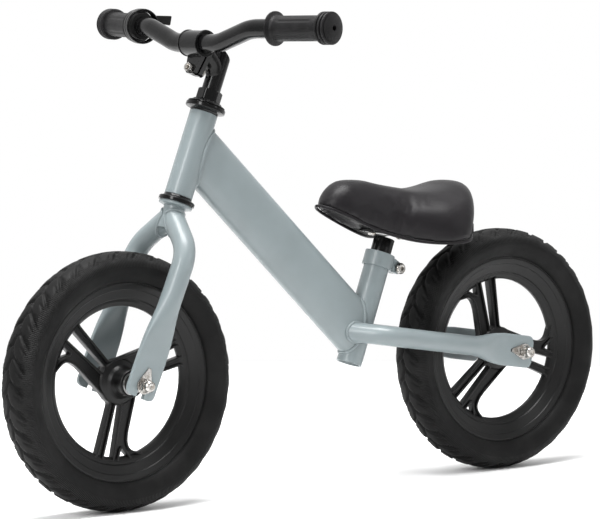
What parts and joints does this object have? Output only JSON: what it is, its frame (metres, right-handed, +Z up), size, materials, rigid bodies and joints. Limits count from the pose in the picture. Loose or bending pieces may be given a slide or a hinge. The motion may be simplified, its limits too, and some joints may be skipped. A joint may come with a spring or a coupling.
{
  "type": "balance bike",
  "caption": "Children's balance bike without pedals: steel frame and fork, foam tyres on moulded wheels, padded saddle, bell and height-adjustable seat and handlebar.",
  "frame": {"origin": "on the ground, halfway between the wheels' axles, in the bike's middle plane", "axes": "+X to the rear of the bike, +Y to the rider's right side, +Z up; the bike faces -X"},
  "size_m": [0.873, 0.4456, 0.5753],
  "materials": {
    "frame_paint": "smooth grey-green enamel, soft satin gloss",
    "black_paint": "gloss black powder coat on steel",
    "bright_zinc": "bright zinc and nickel plate",
    "bearing_steel": "ground steel",
    "tyre_foam": "moulded EVA foam with a tread, dull",
    "wheel_nylon": "injection-moulded nylon, satin",
    "grip_rubber": "soft moulded rubber, dull",
    "black_plastic": "moulded plastic, satin",
    "saddle_skin": "smooth synthetic leather skin over foam, soft sheen"
  },
  "bodies": {
    "frame": {"head_tube": "frame_paint", "down_tube": "frame_paint", "seat_tube": "frame_paint", "left_stay": "frame_paint", "right_stay": "frame_paint", "upper_headset_cup": "black_paint", "lower_headset_cup": "black_paint", "upper_ball_retainer": "bearing_steel", "lower_ball_retainer": "bearing_steel", "seat_clamp": "frame_paint", "seat_clamp_bolt": "bright_zinc", "seat_clamp_nut": "bright_zinc", "rear_axle": "bright_zinc", "rear_axle_sleeve": "bright_zinc", "rear_left_axle_spacer": "bright_zinc", "rear_right_axle_spacer": "bright_zinc", "rear_left_retaining_washer": "bright_zinc", "rear_right_retaining_washer": "bright_zinc", "rear_left_axle_nut": "bright_zinc", "rear_right_axle_nut": "bright_zinc"},
    "fork": {"steerer_tube": "frame_paint", "left_fork_leg": "frame_paint", "right_fork_leg": "frame_paint", "crown_race": "frame_paint", "headset_adjusting_cone": "black_paint", "headset_locknut": "black_paint", "front_axle": "bright_zinc", "front_axle_sleeve": "bright_zinc", "front_left_axle_spacer": "bright_zinc", "front_right_axle_spacer": "bright_zinc", "front_left_retaining_washer": "bright_zinc", "front_right_retaining_washer": "bright_zinc", "front_left_axle_nut": "bright_zinc", "front_right_axle_nut": "bright_zinc"},
    "stem": {"stem": "black_paint", "stem_wedge": "bright_zinc", "stem_expander_bolt": "bright_zinc", "bar_clamp_bolt": "bright_zinc", "bar_clamp_nut": "bright_zinc"},
    "handlebar": {"handlebar": "black_paint", "left_grip": "grip_rubber", "right_grip": "grip_rubber", "bell_clip": "black_plastic", "bell_ring": "black_paint"},
    "bell_lever": {"bell_lever": "black_plastic"},
    "front_wheel": {"front_tyre": "tyre_foam", "front_wheel": "wheel_nylon", "front_left_wheel_bearing": "bearing_steel", "front_right_wheel_bearing": "bearing_steel"},
    "rear_wheel": {"rear_tyre": "tyre_foam", "rear_wheel": "wheel_nylon", "rear_left_wheel_bearing": "bearing_steel", "rear_right_wheel_bearing": "bearing_steel"},
    "seat": {"seat_post": "black_paint", "saddle_bracket": "black_paint", "saddle_base": "black_plastic", "saddle_cover": "saddle_skin", "front_saddle_screw": "bright_zinc", "rear_saddle_screw": "bright_zinc"}
  },
  "joints": [
    {"name": "steering", "type": "hinge", "parent": "frame", "child": "fork", "pos_m": [-0.19989, 0, 0.35923], "axis": [0.3641, 0, 0.9314], "continuous": true},
    {"name": "stem_height", "type": "slide", "parent": "fork", "child": "stem", "axis": [0.3641, 0, 0.9314], "range_m": [-0.015, 0.03]},
    {"name": "handlebar_roll", "type": "hinge", "parent": "stem", "child": "handlebar", "pos_m": [-0.17201, 0, 0.53601], "axis": [0, 1, 0], "range_deg": [-20, 20]},
    {"name": "bell_lever_press", "type": "hinge", "parent": "handlebar", "child": "bell_lever", "pos_m": [-0.15363, 0.11608, 0.56185], "axis": [0.2072, 0.9782, 0.0149], "range_deg": [0, 20], "stiffness_Nm_per_rad": 0.05},
    {"name": "front_wheel_spin", "type": "hinge", "parent": "fork", "child": "front_wheel", "pos_m": [-0.2865, 0, 0.15], "axis": [0, 1, 0], "continuous": true},
    {"name": "rear_wheel_spin", "type": "hinge", "parent": "frame", "child": "rear_wheel", "pos_m": [0.2865, 0, 0.15], "axis": [0, 1, 0], "continuous": true},
    {"name": "seat_height", "type": "slide", "parent": "frame", "child": "seat", "axis": [0.3486, 0, 0.9373], "range_m": [0, 0.035]}
  ]
}
